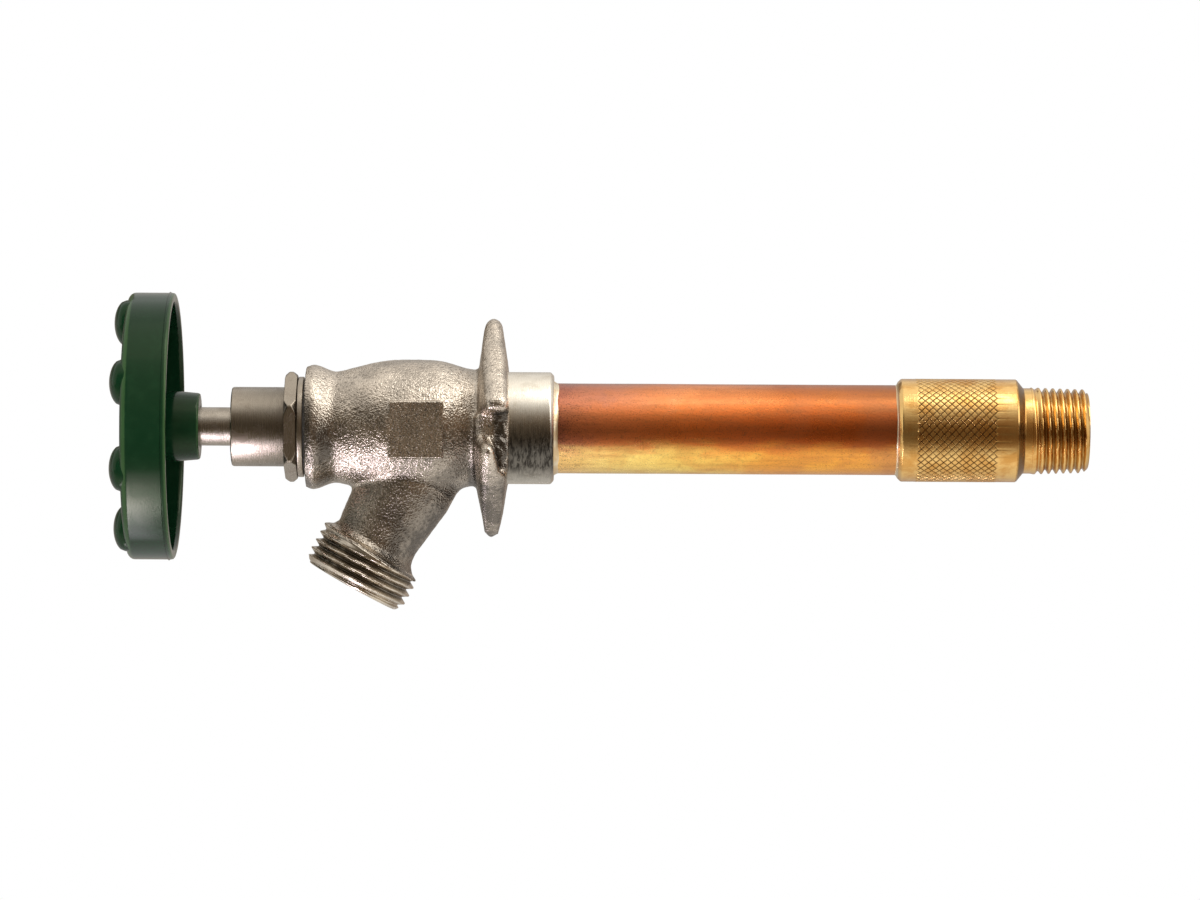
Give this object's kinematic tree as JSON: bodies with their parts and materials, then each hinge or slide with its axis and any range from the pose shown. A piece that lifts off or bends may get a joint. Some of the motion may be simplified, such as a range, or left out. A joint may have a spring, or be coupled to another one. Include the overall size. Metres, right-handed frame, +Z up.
{
  "type": "frost free sillcock",
  "caption": "Outdoor wall tap with a handwheel, slanted hose spout and wall flange, its seat at the far end of a copper tube by the threaded inlet.",
  "frame": {"origin": "on the stem's axis, in the plane of the turned land that meets the wall", "axes": "+X along the stem from the handwheel to the inlet, +Z up, spout down and towards -X"},
  "size_m": [0.2396, 0.0664, 0.0782],
  "materials": {
    "cast_plate": "rough sand-cast brass with a thin nickel plate",
    "turned_plate": "turned brass with a satin nickel plate",
    "stem_plate": "drawn brass with a bright nickel plate",
    "copper": "drawn copper, heat tinted near its brazed ends",
    "braze": "smooth brazing filler",
    "brass": "bright turned brass",
    "green_plastic": "dark green moulded plastic, satin",
    "steel": "bright steel",
    "rubber": "black rubber",
    "fibre": "dark compressed fibre"
  },
  "bodies": {
    "casing": {"valve_body": "cast_plate", "casing_tube": "copper", "inlet_fitting": "brass", "front_braze_ring": "braze", "rear_braze_ring": "braze", "packing_nut": "turned_plate", "bonnet_gasket": "fibre", "gland_washer": "brass", "stem_packing": "fibre", "packing_washer": "brass"},
    "washer_carriage": {"washer_holder": "brass", "seat_washer": "rubber", "washer_screw": "brass", "swivel_ring": "steel"},
    "stem": {"handwheel": "green_plastic", "handle_screw": "steel", "screw_washer": "steel", "spindle": "stem_plate", "stem_o_ring": "rubber", "stem_rod": "brass", "front_rod_pin": "steel", "rear_rod_pin": "steel", "rod_end": "brass"}
  },
  "joints": [
    {"name": "stem_lift", "type": "slide", "parent": "casing", "child": "washer_carriage", "axis": [-1, 0, 0], "range_m": [0, 0.00635]},
    {"name": "handle_turn", "type": "hinge", "parent": "washer_carriage", "child": "stem", "pos_m": [0.105, 0, 0], "axis": [-1, 0, 0], "range_deg": [0, 900]}
  ],
  "couplings": [
    {"joint": "stem_lift", "follows": "handle_turn", "m_per_rad": 0.00040425}
  ]
}
